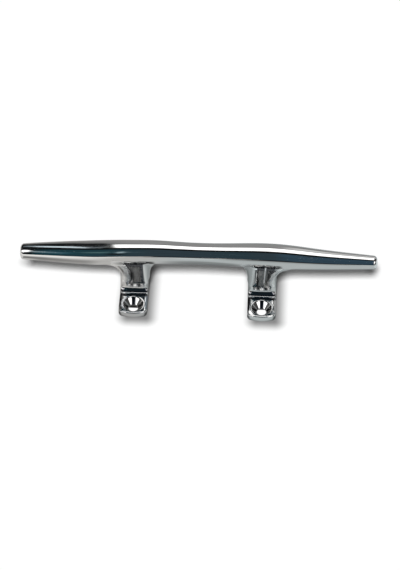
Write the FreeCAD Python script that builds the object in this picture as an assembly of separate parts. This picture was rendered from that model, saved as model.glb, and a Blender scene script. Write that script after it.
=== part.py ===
import FreeCAD, Part
import math
import os

# Boat cleat, one stainless casting: a slender horn on two waisted legs, each
# leg standing on an oblong foot with a countersunk screw hole at either end.
#
# Frame: +Z up, deck plane at z = 0, +X along the horn, Y across it.
# Origin: on the deck plane, midway between the two legs. Units: mm.

V = FreeCAD.Vector

# ---------------------------------------------------------------- dimensions
horn_length = 250.0          # tip to tip
horn_axis_z = 36.5           # height of the horn's axis between the legs
tip_round = 2.4              # rounding of the blunt horn ends

leg_spacing = 90.4           # centre to centre of the legs, along X
leg_width = 19.9             # leg, along X, below the flare
waist_half_depth = 5.6       # half thickness of the leg at its waist, along Y
neck_half_depth = 7.2        # the same where the leg meets the horn
cove_r_low = 4.5             # cove at the foot: a tight arc ...
cove_r_high = 16.0           # ... that runs on as a wide one up to the waist
cove_turn = 20.0             # degrees from upright where the one meets the other
flare_out = (9.6, 11.0)      # flare under the free arm: along X, along Z
flare_in = (12.6, 15.4)      # web under the span between the legs
flare_bite = 1.4             # the flares run this far up into the horn
web_half_depth = 4.2         # half thickness of that web, along Y
web_inset = 2.3              # the web starts this far inside the leg's edge
web_shift = 2.0              # its widest point lies this far toward the span

foot_width = 20.0            # along X
foot_depth = 57.6            # along Y
foot_thickness = 4.6
foot_end_r = 27.0            # the foot's ends bow outward slightly
foot_corner_r = 2.4
foot_edge_r = 1.0            # polished-over top edge

hole_spacing_y = 39.2        # between the two holes of one foot
bore_d = 6.2                 # clearance for a 6 mm screw
csk_d = 15.0                 # 90 degree countersink
csk_rim_r = 0.6              # polished-over rim

# Horn stations: x, radius, drop of the axis below horn_axis_z.
# The arm at -X is stouter than the arm at +X, as on the casting itself.
horn_stations = [
    (-125.0, 5.42, 2.85),
    (-118.5, 5.98, 2.73),
    (-112.0, 6.44, 2.62),
    (-98.0, 7.35, 2.45),
    (-84.0, 8.12, 2.22),
    (-70.0, 8.62, 1.78),
    (-57.0, 8.66, 0.98),
    (-44.5, 8.60, 0.42),
    (-30.0, 8.38, -0.10),
    (-15.0, 7.86, -0.06),
    (0.0, 7.54, 0.08),
    (15.0, 7.74, 0.12),
    (30.0, 8.22, 0.06),
    (44.5, 8.64, 0.08),
    (57.0, 8.62, 0.48),
    (70.0, 8.12, 1.30),
    (84.0, 7.24, 2.20),
    (98.0, 6.36, 2.82),
    (112.0, 5.50, 3.25),
    (125.0, 4.72, 3.60),
]

# Section of the leg at height z: |x/a|^p + |y/b|^p = 1. Nearly a rectangle
# where it stands on the foot, rounder further up.
section_power = [
    (4.6, 14.0),
    (5.5, 9.5),
    (6.5, 6.6),
    (7.5, 5.6),
    (9.0, 5.0),
    (11.0, 4.5),
    (14.0, 4.0),
    (18.0, 3.5),
    (40.0, 3.2),
]
outer_power = (16.0, 26.0, 7.0)  # the half away from the span grows squarer by this much between these heights
leg_shift = {-1: 3.0, 1: 0.0}    # the leg is thickest this far toward the span from its middle


# ---------------------------------------------------------------------- horn
def horn():
    rings = []
    for x, r, drop in horn_stations:
        c = Part.Circle(V(x, 0, horn_axis_z - drop), V(1, 0, 0), r)
        rings.append(Part.Wire([c.toShape()]))
    body = Part.makeLoft(rings, True, False)
    ends = [
        e
        for e in body.Edges
        if e.BoundBox.XLength < 1e-3 and abs(abs(e.BoundBox.XMin) - horn_length / 2) < 1e-3
    ]
    return body.makeFillet(tip_round, ends)


def between(pairs, x):
    for a, b in zip(pairs, pairs[1:]):
        if a[0] <= x <= b[0]:
            k = (x - a[0]) / (b[0] - a[0])
            return [u + k * (w - u) for u, w in zip(a[1:], b[1:])]
    return list(pairs[-1][1:])


# ----------------------------------------------------------------------- leg
def flare(z, top, size):
    """Reach of a quarter ellipse that grows towards top, then runs on straight."""
    reach, height = size
    q = max((z - (top - height)) / height, 0.0)
    c = min(q, 0.95)
    return reach * (1.0 - math.sqrt(1.0 - c * c)) + (q - c) * reach * 0.95 / math.sqrt(1.0 - 0.95**2)


turn = math.radians(cove_turn)
cove_meet_z = foot_thickness + cove_r_low * (1.0 - math.sin(turn))
waist_z = cove_meet_z + cove_r_high * math.sin(turn)
cove_reach = cove_r_high * (1.0 - math.cos(turn)) + cove_r_low * math.cos(turn)


def half_depth(z, top):
    if z < cove_meet_z:
        h = foot_thickness + cove_r_low - z
        return waist_half_depth + cove_reach - math.sqrt(max(cove_r_low**2 - h * h, 0.0))
    if z < waist_z:
        h = waist_z - z
        return waist_half_depth + cove_r_high - math.sqrt(cove_r_high**2 - h * h)
    k = min((z - waist_z) / (top - waist_z), 1.0)
    return waist_half_depth + (neck_half_depth - waist_half_depth) * k * k


def ring(z, cx, side, inner, outer, b, p_inner, p_outer, count=48):
    """Closed section: inner and outer are its reaches toward the span and away from it."""
    pts = []
    for i in range(count):
        t = 2.0 * math.pi * (i + 0.5) / count
        c, s = math.cos(t), math.sin(t)
        a, p = (outer, p_outer) if c * side > 0 else (inner, p_inner)
        if p <= 2.01:
            pts.append(V(cx + a * c, b * s, z))
        else:
            # equal polar steps keep the points even on flat and round stretches
            k = (abs(c / a) ** p + abs(s / b) ** p) ** (-1.0 / p)
            pts.append(V(cx + k * c, k * s, z))
    curve = Part.BSplineCurve()
    curve.interpolate(Points=pts, PeriodicFlag=True, Parameters=[float(i) for i in range(count + 1)])
    return Part.Wire([curve.toShape()])


def leg(side):
    cx = side * leg_spacing / 2.0
    r, drop = between(horn_stations, cx)
    top = horn_axis_z - drop - r + flare_bite
    half = leg_width / 2.0

    # levels follow the cove in equal turns, and lie closer under the horn
    levels = [foot_thickness + cove_r_low * (1.0 - math.sin(math.radians(q))) for q in (80, 71, 62, 52, 42, 31)]
    levels += [waist_z - cove_r_high * math.sin(math.radians(q)) for q in (20, 13.5, 7, 0)]
    span = top - waist_z
    levels += [waist_z + span * k for k in (0.16, 0.32, 0.48, 0.62, 0.74, 0.84, 0.92, 1.0)]
    levels += [top + 1.2, top + 2.4]
    shift = leg_shift[side]
    z0, z1, more = outer_power
    rings = []
    for z in levels:
        inner, outer = half - shift, half + shift + flare(z, top, flare_out)
        p = between(section_power, z)[0]
        q = min(max((z - z0) / (z1 - z0), 0.0), 1.0)
        p_outer = p + more * q * q * (3.0 - 2.0 * q)
        rings.append(ring(z, cx - side * shift, side, inner, outer, half_depth(z, top), p, p_outer))
    column = Part.makeLoft(rings, True, False)
    root = Part.Face(rings[0]).extrude(V(0, 0, foot_thickness - 1.6 - levels[0]))

    # thin web that runs from the leg out under the span
    rings = []
    start = waist_z + 1.5
    for k in (0.0, 0.2, 0.4, 0.58, 0.74, 0.86, 0.94, 1.0, 1.12):
        z = start + (top + 1.0 - start) * k
        reach = half - web_inset + flare(z, top, flare_in)
        rings.append(ring(z, cx - side * web_shift, side, reach, 5.0, web_half_depth, 2.0, 2.0))
    web = Part.makeLoft(rings, True, False)
    return column.fuse(root).fuse(web)


# ---------------------------------------------------------------------- foot
def foot(side):
    cx = side * leg_spacing / 2.0
    hw, hd = foot_width / 2.0, foot_depth / 2.0
    bow = foot_end_r - math.sqrt(foot_end_r**2 - hw * hw)
    ys = hd - bow
    outline = Part.Wire(
        [
            Part.LineSegment(V(cx - hw, ys, 0), V(cx - hw, -ys, 0)).toShape(),
            Part.Arc(V(cx - hw, -ys, 0), V(cx, -hd, 0), V(cx + hw, -ys, 0)).toShape(),
            Part.LineSegment(V(cx + hw, -ys, 0), V(cx + hw, ys, 0)).toShape(),
            Part.Arc(V(cx + hw, ys, 0), V(cx, hd, 0), V(cx - hw, ys, 0)).toShape(),
        ]
    )
    plate = Part.Face(outline).extrude(V(0, 0, foot_thickness))
    upright = [e for e in plate.Edges if e.BoundBox.ZLength > foot_thickness * 0.9]
    plate = plate.makeFillet(foot_corner_r, upright)
    rim = [
        e
        for e in plate.Edges
        if e.BoundBox.ZLength < 1e-4 and abs(e.BoundBox.ZMin - foot_thickness) < 1e-4
    ]
    return plate.makeFillet(foot_edge_r, rim)


def screw_hole(cx, cy):
    r, big = bore_d / 2.0, csk_d / 2.0
    bore = Part.makeCylinder(r, foot_thickness + 2.0, V(cx, cy, -1.0))
    depth = big - r
    over = 1.5
    cone = Part.makeCone(r, big + over, depth + over, V(cx, cy, foot_thickness - depth))
    return bore.fuse(cone)


# ------------------------------------------------------------------ assembly
body = horn()
for side in (-1, 1):
    body = body.fuse(leg(side))
for side in (-1, 1):
    body = body.fuse(foot(side))
body = body.removeSplitter()

for side in (-1, 1):
    for sy in (-1, 1):
        body = body.cut(screw_hole(side * leg_spacing / 2.0, sy * hole_spacing_y / 2.0))

rims = []
for e in body.Edges:
    if isinstance(e.Curve, Part.Circle):
        if abs(e.Curve.Radius - csk_d / 2.0) < 1e-3 and abs(e.BoundBox.ZMin - foot_thickness) < 1e-3:
            rims.append(e)
body = body.makeFillet(csk_rim_r, rims)

if body.ShapeType != "Solid":
    body = body.Solids[0] if len(body.Solids) == 1 else body

os.makedirs("parts", exist_ok=True)
body.exportStep("parts/cleat.step")
b = body.BoundBox
print("solids", len(body.Solids), "valid", body.isValid(), "faces", len(body.Faces))
print("box", round(b.XMin, 3), round(b.XMax, 3), round(b.YMin, 3), round(b.YMax, 3), round(b.ZMin, 3), round(b.ZMax, 3))
print("volume mm3", round(body.Volume, 1), "rims", len(rims))
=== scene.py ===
import math

import bpy
import numpy as np
from mathutils import Matrix, Vector


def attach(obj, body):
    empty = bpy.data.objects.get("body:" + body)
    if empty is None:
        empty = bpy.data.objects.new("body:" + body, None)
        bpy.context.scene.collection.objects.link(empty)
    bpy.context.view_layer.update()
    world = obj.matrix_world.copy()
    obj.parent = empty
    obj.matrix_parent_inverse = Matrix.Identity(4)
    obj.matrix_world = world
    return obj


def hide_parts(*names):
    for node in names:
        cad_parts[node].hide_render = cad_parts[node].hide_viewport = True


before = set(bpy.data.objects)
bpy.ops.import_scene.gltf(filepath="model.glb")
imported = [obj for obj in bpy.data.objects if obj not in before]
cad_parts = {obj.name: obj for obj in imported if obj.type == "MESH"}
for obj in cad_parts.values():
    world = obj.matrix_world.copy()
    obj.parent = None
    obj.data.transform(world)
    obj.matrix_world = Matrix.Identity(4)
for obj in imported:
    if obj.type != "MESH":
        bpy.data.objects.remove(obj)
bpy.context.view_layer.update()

scene = bpy.context.scene
scene.view_settings.view_transform = "Standard"
scene.view_settings.look = "None"

# ===================================================================== shape
# The polished casting, as one smooth closed surface. Lengths in mm: +Z up from
# the deck, +X along the horn, Y across it.

# Horn stations: x, radius, drop of the axis below AXIS_Z. The arm at -X is the
# stouter one.
STATIONS = [
    (-125.0, 5.42, 2.85), (-118.5, 5.98, 2.73), (-112.0, 6.44, 2.62), (-98.0, 7.35, 2.45),
    (-84.0, 8.12, 2.22), (-70.0, 8.62, 1.78), (-57.0, 8.66, 0.98), (-44.5, 8.60, 0.42),
    (-30.0, 8.38, -0.10), (-15.0, 7.86, -0.06), (0.0, 7.54, 0.08), (15.0, 7.74, 0.12),
    (30.0, 8.22, 0.06), (44.5, 8.64, 0.08), (57.0, 8.62, 0.48), (70.0, 8.12, 1.30),
    (84.0, 7.24, 2.20), (98.0, 6.36, 2.82), (112.0, 5.50, 3.25), (125.0, 4.72, 3.60),
]
AXIS_Z = 36.49
HALF_LENGTH = 125.0
TIP_ROUND = 2.4
LEG_SPACING = 90.4
LEG_HALF = 9.95               # half width of a leg along X
WAIST_HALF = 5.6              # half thickness of a leg across Y
NECK_HALF = 7.2               # the same, where it meets the horn
COVE_R1, COVE_R2, COVE_TURN = 4.5, 16.0, 20.0
FLARE_OUT = (9.6, 11.0)       # reach and height of the flare under the free arm
FLARE_IN = (12.6, 15.4)       # the same, under the span
FLARE_BITE = 1.4
WEB_HALF, WEB_BLEND = 4.2, 3.0
NECK_BLEND = 0.7
SHIFT = {-1: 3.0, 1: 0.0}     # a leg is thickest this far inward of its middle
SECTION_Z = (4.6, 5.5, 6.5, 7.5, 9.0, 11.0, 14.0, 18.0, 40.0)
SECTION_P = (14.0, 9.5, 6.6, 5.6, 5.0, 4.5, 4.0, 3.5, 3.2)
OUTER_P = (16.0, 26.0, 7.0)   # the outer half is squarer by this much above these heights
FOOT_T, FOOT_W, FOOT_D = 4.6, 20.0, 57.6
FOOT_END_R, FOOT_CORNER, FOOT_EDGE = 27.0, 2.4, 1.0
HOLE_Y, BORE_R, SINK_R, SINK_RIM = 19.6, 3.1, 7.5, 0.6


class Spline:
    """Natural cubic spline through the points (xs, ys)."""

    def __init__(self, xs, ys):
        x, y = np.asarray(xs, float), np.asarray(ys, float)
        n, h = len(x), np.diff(x)
        m, v = np.zeros((n, n)), np.zeros(n)
        m[0, 0] = m[-1, -1] = 1.0
        for i in range(1, n - 1):
            m[i, i - 1], m[i, i], m[i, i + 1] = h[i - 1], 2 * (h[i - 1] + h[i]), h[i]
            v[i] = 3 * ((y[i + 1] - y[i]) / h[i] - (y[i] - y[i - 1]) / h[i - 1])
        c = np.linalg.solve(m, v)
        self.x, self.a, self.c, self.n = x, y, c, n
        self.b = np.diff(y) / h - h * (2 * c[:-1] + c[1:]) / 3
        self.d = np.diff(c) / (3 * h)

    def __call__(self, q):
        q = np.clip(q, self.x[0], self.x[-1])
        i = np.clip(np.searchsorted(self.x, q) - 1, 0, self.n - 2)
        t = q - self.x[i]
        return self.a[i] + t * (self.b[i] + t * (self.c[i] + t * self.d[i]))


horn_radius = Spline([s[0] for s in STATIONS], [s[1] for s in STATIONS])
horn_drop = Spline([s[0] for s in STATIONS], [s[2] for s in STATIONS])
section_power = Spline(SECTION_Z, SECTION_P)


def round_max(a, b, r):
    """Where both fields are negative, with the edge rounded to radius r."""
    return np.minimum(np.maximum(a + r, b + r), 0) + np.hypot(np.maximum(a + r, 0), np.maximum(b + r, 0)) - r


def round_min(a, b, r):
    """Where either field is negative, with the inner corner filled to radius r."""
    return np.maximum(np.minimum(a - r, b - r), 0) - np.hypot(np.minimum(a - r, 0), np.minimum(b - r, 0)) + r


def smooth_min(a, b, k):
    h = np.clip(0.5 + 0.5 * (b - a) / k, 0, 1)
    return b + (a - b) * h - k * h * (1 - h)


def horn_field(x, y, z):
    tube = np.hypot(y, z - AXIS_Z + horn_drop(x)) - horn_radius(x)
    return round_max(tube, np.abs(x) - HALF_LENGTH, TIP_ROUND)


def cove(z):
    """Extra half thickness of a leg above its foot: a tight arc, then a wide one."""
    t = math.radians(COVE_TURN)
    z1 = FOOT_T + COVE_R1 * (1 - math.sin(t))
    z2 = z1 + COVE_R2 * math.sin(t)
    reach = COVE_R2 * (1 - math.cos(t)) + COVE_R1 * math.cos(t)
    up = np.clip(z2 - z, 0, COVE_R2 * math.sin(t))
    wide = COVE_R2 - np.sqrt(np.maximum(COVE_R2**2 - up * up, 0))
    low = np.clip(FOOT_T + COVE_R1 - z, COVE_R1 * math.sin(t), COVE_R1 * 0.985)
    tight = reach - np.sqrt(np.maximum(COVE_R1**2 - low * low, 0))
    return np.where(z > z2, 0, np.where(z > z1, wide, tight)), z2


def flare(z, top, size):
    """Reach of a quarter ellipse that grows towards top, then runs on straight."""
    w, h = size
    q = np.maximum((z - (top - h)) / h, 0)
    q0 = 0.95
    c = np.minimum(q, q0)
    return w * (1 - np.sqrt(1 - c * c)) + np.maximum(q - q0, 0) * w * q0 / math.sqrt(1 - q0 * q0)


def section(dx, y, a_neg, a_pos, b, p):
    a = np.where(dx > 0, a_pos, a_neg)
    s = (np.abs(dx) / a) ** p + (np.abs(y) / b) ** p
    return np.maximum(s, 1e-9) ** (1 / p) - 1


def as_distance(g, x, y, z, e=1e-3):
    """First-order distance of a field that is not a distance."""
    gx = (g(x + e, y, z) - g(x - e, y, z)) / (2 * e)
    gy = (g(x, y + e, z) - g(x, y - e, z)) / (2 * e)
    gz = (g(x, y, z + e) - g(x, y, z - e)) / (2 * e)
    return g(x, y, z) / np.maximum(np.sqrt(gx * gx + gy * gy + gz * gz), 1.0 / 60)


def leg_field(x, y, z, side):
    cx = side * LEG_SPACING / 2
    axis = AXIS_Z - float(horn_drop(cx))
    top = axis - float(horn_radius(cx)) + FLARE_BITE

    def column(x, y, z):
        zz = np.clip(z, FOOT_T, axis - 2)
        extra, waist = cove(zz)
        k = np.clip((zz - waist) / (top - waist), 0, 1)
        half = WAIST_HALF + extra + (NECK_HALF - WAIST_HALF) * k * k
        dx = (x - cx) * side + SHIFT[side]
        out = LEG_HALF + SHIFT[side] + flare(zz, top, FLARE_OUT)
        q = np.clip((zz - OUTER_P[0]) / (OUTER_P[1] - OUTER_P[0]), 0, 1)
        power = section_power(zz) + np.where(dx > 0, OUTER_P[2] * q * q * (3 - 2 * q), 0)
        return section(dx, y, LEG_HALF - SHIFT[side], out, half, power)

    def web(x, y, z):
        zz = np.clip(z, 15.0, axis - 2)
        reach = LEG_HALF - 2.3 + flare(zz, top, FLARE_IN)
        return section((x - cx) * side + 2.0, y, reach, 5.0, WEB_HALF, 2.0)

    c = as_distance(column, x, y, z)
    w = np.maximum(as_distance(web, x, y, z), 14.0 - z)
    leg = np.maximum(round_min(c, w, WEB_BLEND), FOOT_T - 1.5 - z)
    return np.maximum(leg, z - (axis - 2.5))


def foot_field(x, y, z, side):
    dx, dy = np.abs(x - side * LEG_SPACING / 2), np.abs(y)
    end = np.hypot(dx, dy - (FOOT_D / 2 - FOOT_END_R)) - FOOT_END_R
    plan = round_max(dx - FOOT_W / 2, end, FOOT_CORNER)
    return round_max(round_max(plan, z - FOOT_T, FOOT_EDGE), -z, 0.25)


def hole_field(x, y, z, side):
    r = np.hypot(x - side * LEG_SPACING / 2, np.abs(y) - HOLE_Y)
    cone = (r - (SINK_R - (FOOT_T - z))) / math.sqrt(2)
    return np.maximum(np.minimum(cone, r - BORE_R), z - FOOT_T - 2.5)


def cleat_field(x, y, z):
    f = horn_field(x, y, z)
    for side in (-1, 1):
        near = np.abs(x - side * LEG_SPACING / 2) < 30
        if not near.any():
            continue
        p = x[near], y[near], z[near]
        body = round_min(f[near], leg_field(*p, side), NECK_BLEND)
        body = smooth_min(body, foot_field(*p, side), 0.5)
        f[near] = round_max(body, -hole_field(*p, side), SINK_RIM)
    return f


def grid_lines():
    """Grid planes: close together at the legs, the necks and the tips."""
    xs = [-126.0]
    while xs[-1] < 126.0:
        x = xs[-1]
        leg = max(0.0, abs(abs(x) - LEG_SPACING / 2) - 24.0)
        tip = max(0.0, 121.5 - abs(x))
        xs.append(x + min(0.5 + 0.12 * leg, 0.5 + 0.25 * tip, 1.5))
    zs = [-0.75]
    while zs[-1] < 45.8:
        z = zs[-1]
        zs.append(z + (0.5 if z < 10 else 0.7 if z < 23 else 0.34 if z < 31.5 else 0.5))
    return np.array(xs), np.arange(-29.75, 29.76, 0.5), np.array(zs)


def field_gradient(v, e):
    g = np.empty_like(v)
    for a in range(3):
        d = np.zeros(3)
        d[a] = e
        p, q = v + d, v - d
        g[:, a] = (cleat_field(*p.T.copy()) - cleat_field(*q.T.copy())) / (2 * e)
    return g


def skin():
    """Closed quad mesh of the surface where cleat_field is zero, with its normals."""
    gx, gy, gz = grid_lines()
    nx, ny, nz = len(gx), len(gy), len(gz)
    f = np.empty((nx, ny, nz))
    for i in range(0, nx, 24):
        grid = np.meshgrid(gx[i:i + 24], gy, gz, indexing="ij")
        f[i:i + 24] = cleat_field(*grid)
    inside = f < 0
    corners = [(a, b, c) for a in (0, 1) for b in (0, 1) for c in (0, 1)]
    count = sum(inside[a:nx - 1 + a, b:ny - 1 + b, c:nz - 1 + c].astype(np.int8) for a, b, c in corners)
    ii, jj, kk = np.nonzero((count > 0) & (count < 8))
    index = -np.ones((nx - 1, ny - 1, nz - 1), np.int64)
    index[ii, jj, kk] = np.arange(len(ii))

    # one vertex for each crossed cell: the mean of the crossings on its edges
    total, hits = np.zeros((len(ii), 3)), np.zeros(len(ii))
    for m in range(8):
        for n in range(m + 1, 8):
            a, b = corners[m], corners[n]
            if sum(abs(p - q) for p, q in zip(a, b)) != 1:
                continue
            fa = f[ii + a[0], jj + a[1], kk + a[2]]
            fb = f[ii + b[0], jj + b[1], kk + b[2]]
            cut = (fa < 0) != (fb < 0)
            t = (fa[cut] / (fa[cut] - fb[cut]))[:, None]
            pa = np.stack([gx[ii[cut] + a[0]], gy[jj[cut] + a[1]], gz[kk[cut] + a[2]]], 1)
            pb = np.stack([gx[ii[cut] + b[0]], gy[jj[cut] + b[1]], gz[kk[cut] + b[2]]], 1)
            total[cut] += pa + (pb - pa) * t
            hits[cut] += 1
    v = total / hits[:, None]

    # one quad for each grid edge that crosses the surface
    faces = []
    for axis in range(3):
        lo = [slice(1, -1)] * 3
        hi = [slice(1, -1)] * 3
        lo[axis], hi[axis] = slice(None, -1), slice(1, None)
        i, j, k = np.nonzero(inside[tuple(lo)] != inside[tuple(hi)])
        i, j, k = i + (axis != 0), j + (axis != 1), k + (axis != 2)
        if axis == 0:
            q = (index[i, j - 1, k - 1], index[i, j, k - 1], index[i, j, k], index[i, j - 1, k])
        elif axis == 1:
            q = (index[i - 1, j, k - 1], index[i - 1, j, k], index[i, j, k], index[i, j, k - 1])
        else:
            q = (index[i - 1, j - 1, k], index[i, j - 1, k], index[i, j, k], index[i - 1, j, k])
        q = np.stack(q, 1)
        back = ~inside[i, j, k]
        q[back] = q[back][:, ::-1]
        faces.append(q)
    quads = np.concatenate(faces)

    # even the quads out along the surface, and settle every vertex on it
    ends = np.concatenate([quads[:, [0, 1]], quads[:, [1, 2]], quads[:, [2, 3]], quads[:, [3, 0]]])
    ends = np.concatenate([ends, ends[:, ::-1]])
    n = len(v)
    degree = np.bincount(ends[:, 0], minlength=n).astype(float)
    for turn in range(7):
        g = field_gradient(v, 2e-3)
        size = np.sqrt(np.maximum((g * g).sum(1), 1e-3))
        normal = g / size[:, None]
        v = v - np.clip(cleat_field(*v.T.copy()) / size, -0.3, 0.3)[:, None] * normal
        if turn in (0, 2, 4):
            mean = np.stack([np.bincount(ends[:, 0], weights=v[ends[:, 1], a], minlength=n) for a in range(3)], 1)
            shift = mean / degree[:, None] - v
            v = v + 0.5 * (shift - (shift * normal).sum(1)[:, None] * normal)
    g = field_gradient(v, 5e-3)
    return v, quads, g / np.linalg.norm(g, axis=1)[:, None]


verts, quads, normals = skin()
verts[:, 2] = np.maximum(verts[:, 2], 0)
mesh = bpy.data.meshes.new("cleat_polished")
mesh.from_pydata((verts * 0.001).tolist(), [], quads.tolist())
mesh.polygons.foreach_set("use_smooth", [True] * len(mesh.polygons))
mesh.update()
mesh.normals_split_custom_set_from_vertices(normals.tolist())
cleat = bpy.data.objects.new("cleat_polished", mesh)
scene.collection.objects.link(cleat)
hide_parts("cleat")
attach(cleat, "root")


# ============================================================ node shorthand
class Nodes:
    """Small helper that builds shader nodes and their links."""

    def __init__(self, tree):
        self.tree = tree
        self.tree.nodes.clear()

    def add(self, kind, **props):
        n = self.tree.nodes.new(kind)
        for k, v in props.items():
            setattr(n, k, v)
        return n

    def plug(self, socket, value):
        if isinstance(value, bpy.types.NodeSocket):
            self.tree.links.new(value, socket)
        elif value is not None:
            socket.default_value = value

    def math(self, op, a, b=None, c=None, clamp=False):
        n = self.add("ShaderNodeMath", operation=op, use_clamp=clamp)
        for s, v in zip(n.inputs, (a, b, c)):
            self.plug(s, v)
        return n.outputs[0]

    def mul(self, *values):
        out = values[0]
        for v in values[1:]:
            out = self.math("MULTIPLY", out, v)
        return out

    def remap(self, x, lo, hi, to_lo, to_hi, kind="LINEAR"):
        n = self.add("ShaderNodeMapRange", interpolation_type=kind, clamp=True)
        for s, v in zip(n.inputs, (x, lo, hi, to_lo, to_hi)):
            self.plug(s, v)
        return n.outputs[0]

    def step(self, x, lo, hi):
        """0 below lo, 1 above hi, smooth between."""
        return self.remap(x, lo, hi, 0.0, 1.0, "SMOOTHSTEP")

    def band(self, x, lo, hi, soft, soft_hi=None):
        soft_hi = soft if soft_hi is None else soft_hi
        up = self.step(x, lo - soft, lo + soft)
        down = self.step(x, hi - soft_hi, hi + soft_hi)
        return self.math("MULTIPLY", up, self.math("SUBTRACT", 1.0, down))

    def mix(self, fac, a, b, blend="MIX"):
        n = self.add("ShaderNodeMix", data_type="RGBA", blend_type=blend, clamp_result=False)
        self.plug(n.inputs["Factor"], fac)
        self.plug(n.inputs[6], a)
        self.plug(n.inputs[7], b)
        return n.outputs[2]

    def noise(self, vector, scale, detail=2.0, rough=0.5, squash=None):
        if squash is not None:
            m = self.add("ShaderNodeMapping")
            self.plug(m.inputs[0], vector)
            m.inputs["Scale"].default_value = squash
            vector = m.outputs[0]
        n = self.add("ShaderNodeTexNoise")
        self.plug(n.inputs["Vector"], vector)
        self.plug(n.inputs["Scale"], scale)
        self.plug(n.inputs["Detail"], detail)
        self.plug(n.inputs["Roughness"], rough)
        return n.outputs[0]


def grey(v):
    return (v, v, v, 1.0)


# ================================================================ the studio
# Soft boxes to the left and right of the dark gap that the camera looks out
# of, and a white card overhead. eps climbs from the front horizon (0) over the
# zenith (90) to the back horizon (180); chi leans toward +X.
world = bpy.data.worlds.new("studio")
scene.world = world
world.use_nodes = True
w = Nodes(world.node_tree)
sep = w.add("ShaderNodeSeparateXYZ")
w.plug(sep.inputs[0], w.add("ShaderNodeTexCoord").outputs["Generated"])
dx, dy, dz = sep.outputs
eps = w.mul(w.math("ARCTAN2", dz, w.math("MULTIPLY", dy, -1.0)), 180.0 / math.pi)
chi = w.mul(w.math("ARCSINE", dx), 180.0 / math.pi)
left = w.math("MULTIPLY", chi, -1.0)

DARK = (0.010, 0.012, 0.013, 1.0)
WHITE = grey(2.2)

# what stands in the gap isn't all of one tone
around = w.add("ShaderNodeCombineXYZ")
w.plug(around.inputs[0], w.mul(chi, 0.03))
w.plug(around.inputs[1], w.mul(eps, 0.16))
uneven = w.noise(around.outputs[0], 1.0, 2.0, 0.5)
gap = w.mix(w.step(chi, -14.0, -2.0), (0.018, 0.080, 0.104, 1.0), (0.045, 0.074, 0.094, 1.0))
gap = w.mix(w.step(chi, 2.0, 11.0), gap, (0.050, 0.098, 0.142, 1.0))
gap = w.mix(w.remap(uneven, 0.3, 0.7, 0.45, 0.0), gap, DARK)
slim = w.mix(w.step(eps, 147.0, 163.0), grey(0.78), grey(0.12))
behind = w.mix(w.remap(left, -11.0, -5.0, 1.0, 0.0, "SMOOTHSTEP"), grey(0.35), slim)
behind = w.mix(w.remap(left, 5.0, 14.0, 0.0, 1.0, "SMOOTHSTEP"), behind, grey(0.13))

arm = w.step(left, 9.3, 10.3)                       # what only the stout arm sees
back = w.step(eps, w.remap(arm, 0.0, 1.0, 118.0, 146.0), w.remap(arm, 0.0, 1.0, 128.0, 156.0))
sky = w.mix(back, DARK, behind)
sky = w.mix(w.mul(back, w.step(left, 15.5, 19.0)), sky, grey(0.02))
sky = w.mix(w.mul(w.band(chi, -15.0, 14.5, 1.0, 1.0), w.band(eps, 3.0, 68.0, 3.0)), sky, gap)
# a streak across the gap's left end, fainter toward the middle
off = w.math("ABSOLUTE", w.math("SUBTRACT", eps, w.remap(left, 12.9, 15.6, 31.0, 43.0)))
streak_tone = w.mix(w.remap(left, 12.9, 14.3, 0.0, 1.0), (0.03, 0.11, 0.15, 1.0), (0.15, 0.25, 0.30, 1.0))
streak_tone = w.mix(w.remap(left, 14.3, 15.8, 0.0, 1.0), streak_tone, (0.33, 0.40, 0.43, 1.0))
sky = w.mix(w.mul(w.remap(off, 11.0, 5.0, 0.0, 1.0, "SMOOTHSTEP"), w.step(left, 12.4, 13.0)), sky, streak_tone)
# the boxes
low_l = w.math("MAXIMUM", w.remap(left, 18.0, 32.0, 10.0, 34.0), w.math("SUBTRACT", w.remap(left, 16.2, 17.4, 50.0, 33.0), w.remap(left, 18.0, 21.0, 0.0, 23.0)))
low_l = w.math("SUBTRACT", eps, low_l)
low_r = w.math("SUBTRACT", eps, w.remap(chi, 18.0, 32.0, 10.0, 34.0))
below = w.math("SUBTRACT", 1.0, w.step(eps, 59.0, 65.0))
below_l = w.math("SUBTRACT", 1.0, w.step(w.math("SUBTRACT", eps, w.remap(left, 16.2, 17.4, 52.0, 62.0)), -3.0, 3.0))
sky = w.mix(w.mul(w.step(low_l, -2.0, 4.0), below_l, w.band(left, 16.3, 82.0, 0.3, 3.0)), sky, WHITE)
sky = w.mix(w.mul(w.step(chi, 42.0, 48.0), w.step(eps, 10.0, 20.0)), sky, w.mix(w.step(chi, 66.0, 71.0), grey(0.07), grey(0.85)))
sky = w.mix(w.mul(w.step(low_r, -2.0, 4.0), below, w.band(chi, 15.6, 44.0, 0.8, 3.0)), sky, WHITE)
sky = w.mix(w.mul(w.band(eps, 62.0, 118.0, 4.0), w.step(left, 40.0, 50.0)), sky, grey(0.10))
sky = w.mix(w.mul(w.band(eps, 86.0, 119.0, 2.0), w.band(chi, -9.5, 17.0, 0.6, 2.0)), sky, WHITE)
# a narrow strip overhead, which climbs and fades toward the left
off = w.math("ABSOLUTE", w.math("SUBTRACT", eps, w.remap(left, 11.4, 14.8, 88.5, 117.0)))
off = w.math("SUBTRACT", off, w.remap(left, 11.4, 12.7, 6.0, 9.5))
strip = w.mul(w.remap(off, 3.0, -3.0, 0.0, 1.0, "SMOOTHSTEP"), w.band(left, 11.58, 30.0, 0.08, 2.0),
              w.remap(left, 13.5, 14.7, 1.0, 0.34, "SMOOTHSTEP"), w.remap(left, 15.0, 16.4, 1.0, 0.30, "SMOOTHSTEP"))
sky = w.mix(strip, sky, (1.00, 1.17, 1.28, 1.0))
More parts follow.
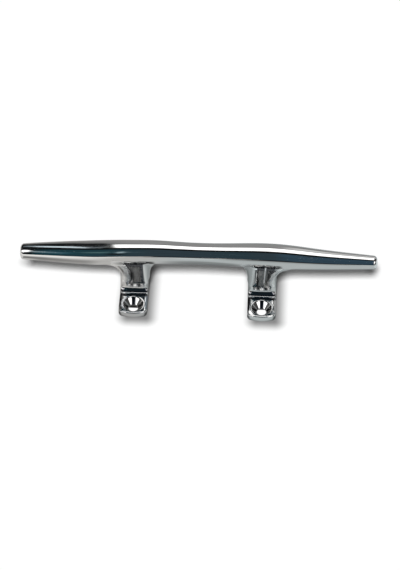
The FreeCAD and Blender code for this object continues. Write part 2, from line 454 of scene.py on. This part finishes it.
# two faint panes low in front, toward the left
sky = w.mix(w.mul(w.band(eps, 18.0, 31.0, 3.0), w.band(left, 6.2, 8.6, 0.5), 0.9), sky, DARK)
sky = w.mix(w.mul(w.band(eps, 34.0, 47.0, 2.0), w.band(left, 6.8, 7.7, 0.3)), sky, (0.54, 0.72, 0.79, 1.0))
sky = w.mix(w.mul(w.band(eps, 36.0, 48.0, 4.0), w.band(left, 9.4, 11.6, 0.8)), sky, (0.09, 0.18, 0.19, 1.0))

path = w.add("ShaderNodeLightPath")
plain = w.mix(path.outputs["Is Camera Ray"], grey(0.165), grey(1.0))
bg = w.add("ShaderNodeBackground")
w.plug(bg.inputs[0], w.mix(path.outputs["Is Glossy Ray"], plain, sky))
w.plug(w.add("ShaderNodeOutputWorld").inputs[0], bg.outputs[0])

# ================================================================= the floor
bpy.ops.mesh.primitive_grid_add(x_subdivisions=8, y_subdivisions=8, size=12.0, location=(0, 0, -0.00002))
floor = bpy.context.object
floor.name = "floor"
paper = bpy.data.materials.new("floor_paper")
paper.use_nodes = True
f = Nodes(paper.node_tree)
fs = f.add("ShaderNodeSeparateXYZ")
f.plug(fs.inputs[0], f.add("ShaderNodeTexCoord").outputs["Object"])
fx, fy, _ = fs.outputs


def foot_distance(shift_x, shift_y, inset):
    """Distance from the outline of the nearer foot, measured on the floor."""
    ax = f.math("SUBTRACT", f.math("ABSOLUTE", f.math("SUBTRACT", f.math("ABSOLUTE", f.math("SUBTRACT", fx, shift_x)), 0.0452)), 0.010 - inset)
    ay = f.math("SUBTRACT", f.math("ABSOLUTE", f.math("SUBTRACT", fy, shift_y)), 0.0288 - inset)
    px, py = f.math("MAXIMUM", ax, 0.0), f.math("MAXIMUM", ay, 0.0)
    return f.math("SQRT", f.math("ADD", f.mul(px, px), f.mul(py, py)))


# soft contact shadow of the feet, cast to the right and to the front
cast = f.remap(foot_distance(0.003, -0.0035, 0.004), 0.0, 0.0115, 0.82, 0.0, "SMOOTHSTEP")


def blob(x, y, reach, strength):
    bx, by = f.math("SUBTRACT", fx, x), f.math("SUBTRACT", fy, y)
    return f.remap(f.math("SQRT", f.math("ADD", f.mul(bx, bx), f.mul(by, by))), 0.0015, reach, strength, 0.0, "SMOOTHSTEP")


# and of the horn's two ends
cast = f.math("MAXIMUM", cast, f.math("MAXIMUM", blob(-0.1245, 0.0245, 0.0085, 0.32), blob(0.1232, 0.0280, 0.0078, 0.40)))
hx = f.math("SUBTRACT", f.math("ABSOLUTE", fx), 0.0452)
hy = f.math("SUBTRACT", f.math("ABSOLUTE", fy), 0.0196)
bore = f.remap(f.math("SQRT", f.math("ADD", f.mul(hx, hx), f.mul(hy, hy))), 0.0036, 0.0030, 0.0, 1.0)
# painted shade: the paper inside each bore is dark
fb = f.add("ShaderNodeBsdfDiffuse")
f.plug(fb.inputs[0], f.mix(bore, f.mix(cast, grey(0.93), grey(0.08)), grey(0.02)))

# What the polished metal sees of it is painted light, glowing: dim close to the casting, lighter further out.
side = f.remap(fx, -0.005, 0.010, 0.0, 1.0)
wide = f.mul(fx, f.remap(side, 0.0, 1.0, 1 / 0.038, 1 / 0.050))
deep = f.mul(f.math("ADD", fy, f.remap(side, 0.0, 1.0, 0.015, 0.010)), 1 / 0.045)
near = f.math("SQRT", f.math("ADD", f.mul(wide, wide), f.mul(deep, deep)))
seen = f.remap(near, f.remap(side, 0.0, 1.0, 0.25, 0.42), f.remap(side, 0.0, 1.0, 0.90, 0.80), 0.33, 0.64, "SMOOTHSTEP")
seen = f.math("ADD", seen, f.mul(f.remap(fy, -0.06, -0.14, 0.0, 0.14, "SMOOTHSTEP"), f.band(fx, -0.012, 0.006, 0.006)))
seen = f.mul(seen, f.remap(f.mul(f.remap(fy, -0.075, -0.30, 0.0, 1.0), side), 0.0, 1.0, 1.0, 0.44))
seen = f.mul(seen, f.remap(fy, -0.014, 0.006, 1.0, 0.54, "SMOOTHSTEP"))
seen = f.mul(seen, f.remap(foot_distance(0.0, 0.0035, 0.0), 0.0018, 0.0052, 0.22, 1.0, "SMOOTHSTEP"))
# out past the left foot: light far in front, a dip under the arm's front, lighter again below it
t = f.remap(fx, -0.070, -0.125, 0.0, 1.0)
far = f.remap(t, 0.0, 1.0, 0.66, 1.14)
dip = f.math("SUBTRACT", f.remap(fx, -0.068, -0.085, 0.60, 0.38, "SMOOTHSTEP"), f.mul(t, 0.12))
stout = f.remap(fy, f.remap(t, 0.0, 1.0, -0.014, -0.036), f.remap(t, 0.0, 1.0, -0.075, -0.120), dip, far, "SMOOTHSTEP")
lift = f.math("ADD", f.remap(t, 0.0, 1.0, 0.07, 0.14), f.remap(fx, -0.116, -0.124, 0.0, 0.32))
stout = f.math("ADD", stout, f.mul(f.band(fy, -0.018, 0.006, 0.010, 0.006), lift))
stout = f.mul(stout, f.remap(fy, 0.006, 0.020, 1.0, 0.70))
out = f.remap(fx, -0.060, -0.075, 0.0, 1.0, "SMOOTHSTEP")
seen = f.math("ADD", f.mul(seen, f.math("SUBTRACT", 1.0, out)), f.mul(stout, out))
# past both ends of the horn it lies in full light
seen = f.math("MAXIMUM", seen, f.mul(f.remap(f.math("ABSOLUTE", fx), 0.134, 0.143, 0.0, 0.85, "SMOOTHSTEP"), f.remap(fy, -0.32, -0.28, 0.0, 1.0)))
# painted darker far out in front, except toward the left
edge = f.mul(f.remap(fy, -0.28, -0.42, 0.0, 0.92, "SMOOTHSTEP"), f.remap(fx, -0.10, -0.04, 0.0, 1.0, "SMOOTHSTEP"))
seen = f.mul(seen, f.math("SUBTRACT", 1.0, edge))
fe = f.add("ShaderNodeEmission")
f.plug(fe.inputs["Strength"], seen)
f.plug(fe.inputs["Color"], f.mix(f.step(fx, -0.060, 0.0), (1.0, 0.99, 0.965, 1.0), (0.92, 1.0, 1.01, 1.0)))
# the paper is lit up where it shows through the bores, under the front ones only its nearer part
bore = f.mul(bore, f.remap(f.math("ADD", fy, 0.0196), f.remap(fx, -0.01, 0.01, 0.0007, 0.0026), f.remap(fx, -0.01, 0.01, 0.0003, 0.0022), 0.0, 1.0))
lit = f.add("ShaderNodeMixShader")
f.plug(lit.inputs[0], bore)
f.plug(lit.inputs[1], fb.outputs[0])
f.plug(lit.inputs[2], f.add("ShaderNodeEmission").outputs[0])
fm = f.add("ShaderNodeMixShader")
f.plug(fm.inputs[0], f.add("ShaderNodeLightPath").outputs["Is Glossy Ray"])
f.plug(fm.inputs[1], lit.outputs[0])
f.plug(fm.inputs[2], fe.outputs[0])
f.plug(f.add("ShaderNodeOutputMaterial").inputs[0], fm.outputs[0])
floor.data.materials.append(paper)

# ================================================================= key light
key = bpy.data.lights.new("key", "SUN")
key.energy = 3.75
key.angle = math.radians(11.0)
key_ob = bpy.data.objects.new("key", key)
scene.collection.objects.link(key_ob)
ka, ke = math.radians(-3.5), math.radians(51.0)
kd = Vector((math.sin(ka) * math.cos(ke), -math.cos(ka) * math.cos(ke), math.sin(ke)))
key_ob.rotation_mode = "QUATERNION"
key_ob.rotation_quaternion = kd.to_track_quat("Z", "Y")
key_ob.visible_glossy = False

# ============================================================ polished steel
steel = bpy.data.materials.new("polished_steel_detail")
steel.use_nodes = True
s = Nodes(steel.node_tree)
obj = s.add("ShaderNodeTexCoord").outputs["Object"]
bsdf = s.add("ShaderNodeBsdfPrincipled")
bsdf.inputs["Metallic"].default_value = 1.0
sx = s.add("ShaderNodeSeparateXYZ")
s.plug(sx.inputs[0], obj)
px, py, pz = sx.outputs
# Each leg's hollow front has its own outline: along X from the leg's middle, it
# narrows downward from the flare, and more so on the leg under the stout arm.
leg_x = s.math("ABSOLUTE", s.math("SUBTRACT", s.math("ABSOLUTE", px), 0.0452))
along = s.math("SUBTRACT", px, s.mul(s.math("SIGN", px), 0.0452))
front = s.math("ABSOLUTE", py)
stout_leg = s.math("LESS_THAN", px, 0.0)
slim_leg = s.math("SUBTRACT", 1.0, stout_leg)
widen = s.remap(pz, 0.0090, 0.0140, 0.0030, 0.0)
stout_lo = s.remap(pz, 0.0235, 0.0314, -0.0027, -0.0064)
slim_lo = s.remap(pz, 0.0305, 0.0325, -0.0039, -0.0063)
stout_hi = s.remap(pz, 0.0318, 0.0345, 0.0066, 0.0119)
slim_hi = s.math("ADD", s.remap(pz, 0.0160, 0.0245, 0.0047, 0.0065), s.remap(pz, 0.0245, 0.0312, 0.0, 0.0051))
past_lo = s.math("SUBTRACT", s.math("ADD", along, widen), s.remap(stout_leg, 0.0, 1.0, slim_lo, stout_lo))
past_hi = s.math("SUBTRACT", s.remap(stout_leg, 0.0, 1.0, slim_hi, stout_hi), s.math("SUBTRACT", along, widen))
panel = s.mul(s.step(past_lo, -0.0003, 0.0003), s.step(past_hi, -0.0003, 0.0003))
# a buffing wheel doesn't reach in there as well
hollow = s.mul(panel, s.remap(pz, 0.0070, 0.0090, 0.0, 1.0, "SMOOTHSTEP"), s.remap(pz, 0.0320, 0.0305, 0.0, 1.0, "SMOOTHSTEP"),
               s.remap(front, 0.0040, 0.0050, 0.0, 1.0))
# the crease under the horn, with the flare next to it, is painted dark as shade, and is a little rougher
crease_top = s.remap(stout_leg, 0.0, 1.0, s.remap(along, -0.0060, 0.0120, 0.0339, 0.0320), s.remap(along, 0.0050, 0.0119, 0.0331, 0.0353))
flare = s.mul(slim_leg, s.step(along, 0.0045, 0.0055), s.step(pz, 0.0235, 0.0250))
crease_shade = s.mul(panel, s.math("MAXIMUM", s.step(pz, 0.0275, 0.0292), flare), s.step(s.math("SUBTRACT", crease_top, pz), -0.0003, 0.0003),
               s.remap(front, 0.0058, 0.0062, 0.0, 1.0))
upright = s.mul(s.band(pz, 0.0115, 0.0330, 0.0008), s.remap(front, 0.0040, 0.0050, 0.0, 1.0))
# painted reflections along the edges of the hollow front: dark lines, bright lines, and lighter flanks beside them
outline = s.mul(s.band(past_lo, 0.0001, 0.0009, 0.0002), upright)
edge_highlight = s.mul(s.band(past_lo, -0.0013, -0.0001, 0.0002), upright, s.step(pz, 0.0325, 0.0315))
beside = s.mul(s.step(past_lo, 0.0002, -0.0002), s.math("MAXIMUM",
               s.mul(upright, s.step(past_lo, s.remap(stout_leg, 0.0, 1.0, -0.0036, -0.0058), s.remap(stout_leg, 0.0, 1.0, -0.0026, -0.0040)), s.step(pz, 0.0325, 0.0315)),
               s.mul(s.band(pz, 0.0293, 0.0348, 0.0005), s.remap(front, 0.0055, 0.0060, 0.0, 1.0), s.step(along, -0.0165, -0.0140))))
beyond = s.mul(s.step(past_hi, 0.0002, -0.0002), upright, s.step(past_hi, -0.0032, -0.0022), slim_leg, s.step(pz, 0.0320, 0.0310))
inner = s.mul(s.band(past_hi, 0.0001, 0.0020, 0.0002), upright, stout_leg)
seam_highlight = s.mul(s.band(s.math("SUBTRACT", along, s.remap(pz, 0.0160, 0.0310, 0.0012, 0.0020)), -0.0005, 0.0005, 0.0002), slim_leg, s.band(pz, 0.0150, 0.0325, 0.0008), s.remap(front, 0.0040, 0.0050, 0.0, 1.0))
# the root of the leg, where it runs out on the foot, and a line on the foot in front of it are painted dark as shade
root = s.mul(s.remap(leg_x, 0.0105, 0.0085, 0.0, 1.0, "SMOOTHSTEP"), s.band(pz, 0.0051, 0.0073, 0.0003), s.remap(s.math("ABSOLUTE", py), 0.0064, 0.0067, 0.0, 1.0))
verge_shade = s.mul(s.remap(s.math("ABSOLUTE", py), 0.0096, 0.0100, 0.0, 1.0), s.remap(s.math("ABSOLUTE", py), 0.0122, 0.0116, 0.0, 1.0), s.band(pz, 0.0042, 0.0050, 0.0002))
cloud = s.noise(obj, 60.0, 3.0, 0.6)                       # broad, uneven polish
lines = s.noise(obj, 900.0, 3.0, 0.6, (0.035, 1.0, 1.0))   # fine polishing lines along the horn
streak = s.noise(obj, 1100.0, 2.0, 0.5, (1.0, 1.0, 0.05))  # and up and down the legs
grain = s.mix(hollow, lines, streak)
tone = s.mix(s.step(cloud, 0.35, 0.65), (0.655, 0.655, 0.65, 1.0), (0.675, 0.672, 0.665, 1.0))
tone = s.mix(s.mul(hollow, s.step(streak, 0.40, 0.62)), tone, (0.56, 0.56, 0.57, 1.0))
# painted shade in the crease under the horn
tone = s.mix(crease_shade, tone, (0.11, 0.112, 0.12, 1.0))
# painted light and shade: the cheeks toward the span are painted brighter, the slim leg's outer cheek and the stout
# leg's toes painted darker
sides = s.band(pz, 0.0100, 0.0310, 0.0010)
cheek_highlight = s.mul(s.step(s.math("SUBTRACT", 0.0452, s.math("ABSOLUTE", px)), 0.0058, 0.0074), sides)
tone = s.mix(cheek_highlight, tone, (0.86, 0.865, 0.86, 1.0))
dark_cheek_and_toe = s.math("MAXIMUM", s.mul(slim_leg, s.step(along, 0.0080, 0.0095), sides), s.mul(stout_leg, s.step(front, 0.0255, 0.0265)))
tone = s.mix(dark_cheek_and_toe, tone, (0.53, 0.535, 0.54, 1.0))
# a painted highlight: a bright line on the foot in front of each leg
ledge_highlight = s.mul(s.band(front, 0.0083, 0.0095, 0.0002), s.band(pz, 0.0045, 0.0056, 0.0002))
tone = s.mix(ledge_highlight, tone, (0.97, 0.975, 0.98, 1.0))
# painted dark reflection lines along the hollow front's edges
tone = s.mix(s.mul(outline, 0.85), tone, (0.06, 0.06, 0.07, 1.0))
tone = s.mix(s.mul(inner, 0.8), tone, (0.10, 0.105, 0.12, 1.0))
# the flanks beside the hollow front are rougher and painted lighter
matt_lit_flank = s.mul(s.math("MAXIMUM", beside, beyond), s.math("SUBTRACT", 1.0, edge_highlight))
tone = s.mix(matt_lit_flank, tone, (0.97, 0.975, 0.97, 1.0))
# painted highlights: bright lines along the hollow front's edges, also a little rougher
tone = s.mix(s.math("MAXIMUM", edge_highlight, seam_highlight), tone, (0.96, 0.965, 0.97, 1.0))
# painted shade at the root of each leg and on the foot in front of it
tone = s.mix(s.math("MAXIMUM", root, verge_shade), tone, (0.17, 0.17, 0.18, 1.0))
# painted shade too: the countersink's upper wall in its middle, and the left edge of each foot, are painted dark
sink_wall_shade = s.mul(s.remap(leg_x, 0.0016, 0.0012, 0.0, 1.0), s.band(front, 0.0122, 0.0186, 0.0003), s.step(pz, 0.0046, 0.0043))
foot_edge_shade = s.mul(s.remap(along, -0.0084, -0.0088, 0.0, 1.0), s.band(front, 0.0100, 0.0225, 0.0006), s.step(pz, 0.0060, 0.0055))
# a painted highlight along the rim of the stout leg's countersink, which is also a little rougher, and painted shade
# beside the slim leg's
rim = s.math("SQRT", s.math("ADD", s.math("POWER", along, 2.0), s.math("POWER", s.math("SUBTRACT", front, 0.0196), 2.0)))
arc = s.mul(stout_leg, s.band(rim, 0.0070, 0.0089, 0.0002), s.step(along, -0.0036, -0.0050), s.band(front, 0.0130, 0.0250, 0.0006), s.step(pz, 0.0040, 0.0043))
# painted highlight on the stout leg's countersink rim
tone = s.mix(arc, tone, (0.97, 0.975, 0.98, 1.0))
shade = s.mul(slim_leg, s.step(along, -0.0070, -0.0076), s.band(front, 0.0118, 0.0230, 0.0006), s.step(pz, 0.0041, 0.0044))
tone = s.mix(shade, tone, s.mix(s.remap(front, 0.0160, 0.0225, 0.0, 1.0), (0.10, 0.11, 0.11, 1.0), (0.36, 0.37, 0.37, 1.0)))
# painted shade on the countersinks' upper walls and the feet's left edges
tone = s.mix(s.math("MAXIMUM", sink_wall_shade, foot_edge_shade), tone, (0.05, 0.05, 0.06, 1.0))
# and painted shade along the other edge of the stout leg's foot
lip_shade = s.mul(stout_leg, s.step(along, 0.0081, 0.0085), s.band(front, 0.0115, 0.0245, 0.0004), s.band(pz, 0.0034, 0.0062, 0.0003))
tone = s.mix(s.mul(lip_shade, 0.85), tone, (0.17, 0.21, 0.24, 1.0))
s.plug(bsdf.inputs["Base Color"], tone)
rough = s.math("ADD", s.remap(cloud, 0.3, 0.7, 0.030, 0.055), s.remap(grain, 0.35, 0.65, 0.0, 0.020))
rough = s.math("ADD", rough, s.mul(hollow, s.remap(streak, 0.3, 0.7, 0.06, 0.16)))
s.plug(bsdf.inputs["Roughness"], s.math("ADD", s.math("ADD", rough, s.mul(crease_shade, 0.10)), s.math("ADD", s.mul(s.math("MAXIMUM", s.math("MAXIMUM", seam_highlight, s.mul(arc, 0.6)), s.mul(edge_highlight, stout_leg, 0.5)), 0.32), s.mul(matt_lit_flank, 0.30))))
bump = s.add("ShaderNodeBump")
bump.inputs["Distance"].default_value = 0.00001
bump.inputs["Strength"].default_value = 0.35
s.plug(bump.inputs["Height"], grain)
s.plug(bsdf.inputs["Normal"], bump.outputs[0])
s.plug(s.add("ShaderNodeOutputMaterial").inputs[0], bsdf.outputs[0])
mesh.materials.append(steel)

# ================================================================ the camera
# Long lens, well back; the horn's right-hand end is a little nearer.
CAM_AZIMUTH, CAM_ELEVATION = math.radians(2.5), math.radians(44.5)
CAM_DISTANCE = 1.5
CAM_SCALE = 1.4300            # pixels a mm at the horn, in a 400 x 570 frame
HORN_AT = (198.5, 253.6)      # where the horn's middle lies in that frame
cam = bpy.data.cameras.new("camera")
cam.lens = 1000 * CAM_DISTANCE * CAM_SCALE / 570.0 * 36.0
cam.sensor_width = 36.0
cam.sensor_fit = "AUTO"
cam.clip_start, cam.clip_end = 0.05, 40.0
cam_ob = bpy.data.objects.new("camera", cam)
scene.collection.objects.link(cam_ob)
ca, ce = CAM_AZIMUTH, CAM_ELEVATION
toward = Vector((math.sin(ca) * math.cos(ce), -math.cos(ca) * math.cos(ce), math.sin(ce)))
right = Vector((math.cos(ca), math.sin(ca), 0.0))
up = toward.cross(right)
mm = 0.001 / CAM_SCALE
target = Vector((0, 0, 0.0365)) - right * ((HORN_AT[0] - 200.0) * mm) + up * ((HORN_AT[1] - 285.0) * mm)
cam_ob.rotation_mode = "QUATERNION"
cam_ob.rotation_quaternion = Matrix((right, up, toward)).transposed().to_quaternion()
cam_ob.location = target + toward * CAM_DISTANCE
scene.camera = cam_ob
